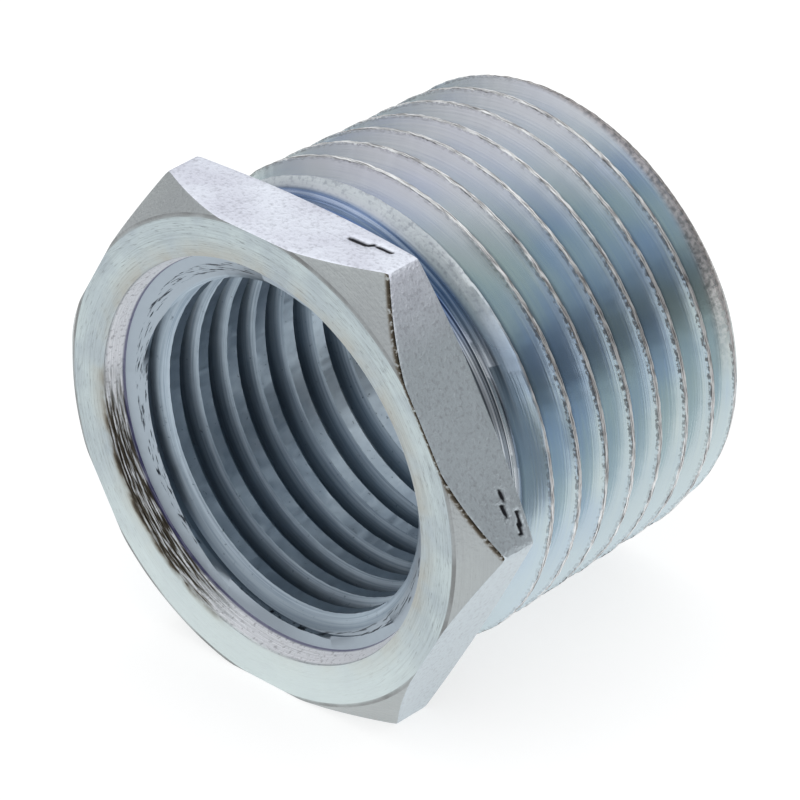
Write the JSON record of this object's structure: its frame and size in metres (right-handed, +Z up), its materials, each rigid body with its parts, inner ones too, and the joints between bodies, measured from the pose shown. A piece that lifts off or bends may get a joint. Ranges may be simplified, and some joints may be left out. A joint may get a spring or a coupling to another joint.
{
  "type": "hex bushing",
  "caption": "Hexagon reducing bushing in zinc-plated steel, with a tapered male pipe thread, a relief neck and a bore for a smaller pipe thread.",
  "frame": {"origin": "centre of the hex end face, on the bushing's axis", "axes": "+Y along the axis from the hex end to the male thread's small end; +Z up, square to the level flats of the hex that it lies on; +X completes the right-handed frame"},
  "size_m": [0.0196, 0.0143, 0.017],
  "materials": {
    "zinc_plated_steel": "bright zinc plate with a pale blue passivation, matt on the flats"
  },
  "bodies": {
    "root": {"bushing": "zinc_plated_steel"}
  },
  "joints": []
}
